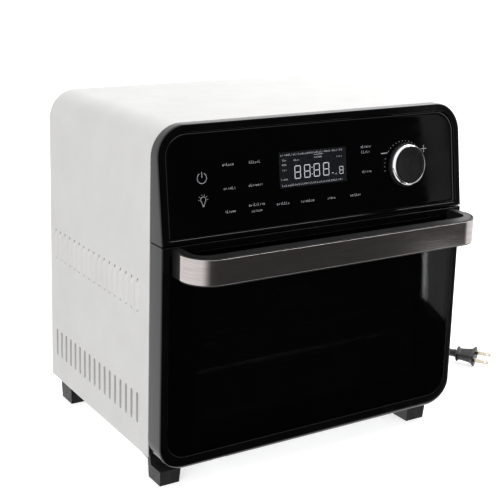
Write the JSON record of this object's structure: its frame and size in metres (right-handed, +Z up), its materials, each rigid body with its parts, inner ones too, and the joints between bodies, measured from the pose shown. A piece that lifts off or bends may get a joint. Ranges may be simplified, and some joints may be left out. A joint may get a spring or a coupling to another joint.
{
  "type": "toaster oven",
  "caption": "Countertop toaster oven: white wrap housing, black leaning touch panel with one knob, drop-down glass door with a U handle, ring heater and fan.",
  "frame": {"origin": "middle of the footprint between the handle's front and the housing's back, on the counter under the feet", "axes": "+Z up, -Y out of the door towards the user, +X to the user's right"},
  "size_m": [0.508, 0.4428, 0.349],
  "materials": {
    "housing_paint": "satin",
    "black_gloss": "polished",
    "black_matte": "satin",
    "touch_glass": "mirror gloss",
    "display": "gloss",
    "door_glass": "tinted",
    "clear_glass": "clear",
    "black_steel": "brushed, dark tinted",
    "liner_steel": "satin",
    "zinc_steel": "galvanised",
    "chrome": "polished",
    "heater_sheath": "oxidised",
    "circuit_board": "satin",
    "ceramic": "matte",
    "rubber": "matte",
    "cord_jacket": "satin",
    "nickel": "plated"
  },
  "bodies": {
    "oven_body": {"housing_shell": "housing_paint", "rear_panel": "zinc_steel", "base_plate": "zinc_steel", "cavity_liner": "liner_steel", "cavity_front_flange": "liner_steel", "rack_runner_left": "liner_steel", "rack_runner_right": "liner_steel", "wire_rack": "chrome", "crumb_tray": "liner_steel", "ring_heater": "heater_sheath", "heater_guard": "liner_steel", "guard_rim": "liner_steel", "lower_heater_front": "heater_sheath", "lower_heater_rear": "heater_sheath", "motor_bracket": "zinc_steel", "fan_motor": "zinc_steel", "lamp_lens": "clear_glass", "lamp_socket": "ceramic", "lamp_bulb": "clear_glass", "temperature_probe": "liner_steel", "thermal_cutout": "black_matte", "power_board": "circuit_board", "board_shield": "zinc_steel", "control_panel_housing": "black_gloss", "touch_panel": "touch_glass", "display_module": "display", "control_board": "circuit_board", "rotary_encoder": "zinc_steel", "hinge_bracket_left": "zinc_steel", "hinge_bracket_right": "zinc_steel", "hinge_pin_left": "liner_steel", "hinge_pin_right": "liner_steel", "hinge_spring_left": "liner_steel", "hinge_spring_right": "liner_steel", "foot_front_left": "rubber", "foot_front_right": "rubber", "foot_rear_left": "rubber", "foot_rear_right": "rubber", "strain_relief": "rubber", "cord_drop": "cord_jacket", "cord_coil": "cord_jacket", "cord_run": "cord_jacket", "plug_body": "cord_jacket", "plug_blade_near": "nickel", "plug_blade_far": "nickel"},
    "door": {"door_frame": "black_gloss", "door_glass_outer": "door_glass", "door_glass_inner": "door_glass", "door_inner_panel": "liner_steel", "handle_core": "black_matte", "handle_trim": "black_steel", "handle_screw_left": "zinc_steel", "handle_screw_right": "zinc_steel"},
    "fan_rotor": {"convection_fan": "zinc_steel", "cooling_fan": "zinc_steel", "motor_shaft": "liner_steel"},
    "encoder_plunger": {"encoder_shaft": "zinc_steel"},
    "knob": {"knob_body": "black_matte", "knob_ring": "chrome"}
  },
  "joints": [
    {"name": "door_hinge", "type": "hinge", "parent": "oven_body", "child": "door", "pos_m": [0, -0.099, 0.023], "axis": [1, 0, 0], "range_deg": [0, 78]},
    {"name": "fan_spin", "type": "hinge", "parent": "oven_body", "child": "fan_rotor", "pos_m": [0, 0.023, 0.24], "axis": [0, 0, 1], "continuous": true},
    {"name": "knob_press", "type": "slide", "parent": "oven_body", "child": "encoder_plunger", "axis": [0, 0.9914, -0.1305], "range_m": [0, 0.0007], "stiffness_N_per_m": 3000, "springref_m": -0.0005},
    {"name": "knob_turn", "type": "hinge", "parent": "encoder_plunger", "child": "knob", "pos_m": [0.104, -0.09942, 0.28997], "axis": [0, -0.9914, 0.1305], "continuous": true}
  ]
}
